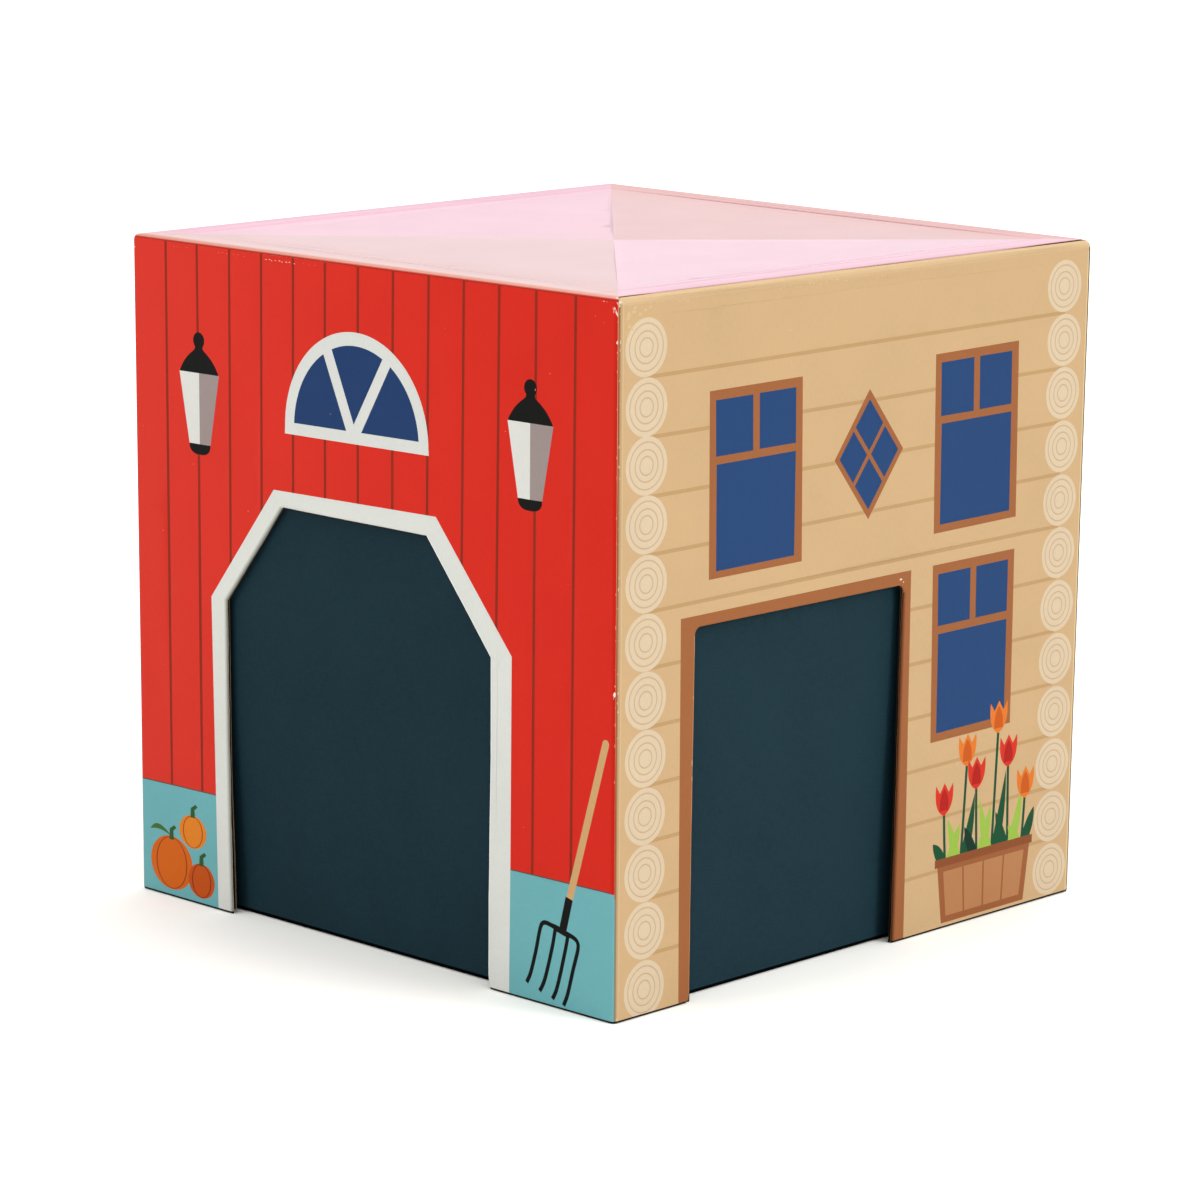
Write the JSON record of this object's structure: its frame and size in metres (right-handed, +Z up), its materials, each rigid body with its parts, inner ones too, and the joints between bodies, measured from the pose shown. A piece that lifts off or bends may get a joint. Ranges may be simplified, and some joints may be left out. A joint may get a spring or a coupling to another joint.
{
  "type": "cardboard barn play box",
  "caption": "Printed cardboard barn cube, open underneath, with two cut-out doorways, that lifts off a plain open storage tray.",
  "frame": {"origin": "middle of the footprint, on the surface the box stands on", "axes": "+Z up; the barn side with the sloping-shouldered doorway faces -Y, the log side with the square doorway faces +X, the yard side faces +Y and the house side faces -X"},
  "size_m": [0.18, 0.18, 0.18],
  "materials": {
    "fluted_board": "brown micro-fluted board",
    "kraft_liner": "uncoated brown kraft liner",
    "barn_print": "litho-printed sheet with a soft satin film, faint fine weave",
    "log_print": "litho-printed sheet with a soft satin film, faint fine weave",
    "yard_print": "litho-printed sheet with a soft satin film, faint fine weave",
    "house_print": "litho-printed sheet with a soft satin film, faint fine weave",
    "roof_print": "litho-printed sheet with a soft satin film, faint fine weave",
    "greyboard": "dense grey recycled board",
    "stay_paper": "gummed corner stay paper",
    "tray_wrap_paper": "dark teal wrapping paper, matt with a faint fine weave",
    "tray_lining_paper": "uncoated off-white lining paper"
  },
  "bodies": {
    "tray": {"tray_floor_board": "greyboard", "tray_front_board": "greyboard", "tray_back_board": "greyboard", "tray_left_board": "greyboard", "tray_right_board": "greyboard", "tray_corner_stays": "stay_paper", "tray_wrap": "tray_wrap_paper", "tray_wall_lining": "tray_lining_paper", "tray_floor_lining": "tray_lining_paper", "tray_base_sheet": "tray_wrap_paper"},
    "barn_shell": {"barn_wall_board": "fluted_board", "log_wall_board": "fluted_board", "yard_wall_board": "fluted_board", "house_wall_board": "fluted_board", "roof_board": "fluted_board", "barn_wall_print": "barn_print", "log_wall_print": "log_print", "yard_wall_print": "yard_print", "house_wall_print": "house_print", "roof_print": "roof_print", "barn_wall_liner": "kraft_liner", "log_wall_liner": "kraft_liner", "yard_wall_liner": "kraft_liner", "house_wall_liner": "kraft_liner", "roof_liner": "kraft_liner", "log_roof_flap": "fluted_board", "yard_roof_flap": "fluted_board", "house_roof_flap": "fluted_board", "corner_glue_flap": "fluted_board"}
  },
  "joints": [
    {"name": "barn_lift", "type": "slide", "parent": "tray", "child": "barn_shell", "axis": [0, 0, 1], "range_m": [0, 0.2]}
  ]
}
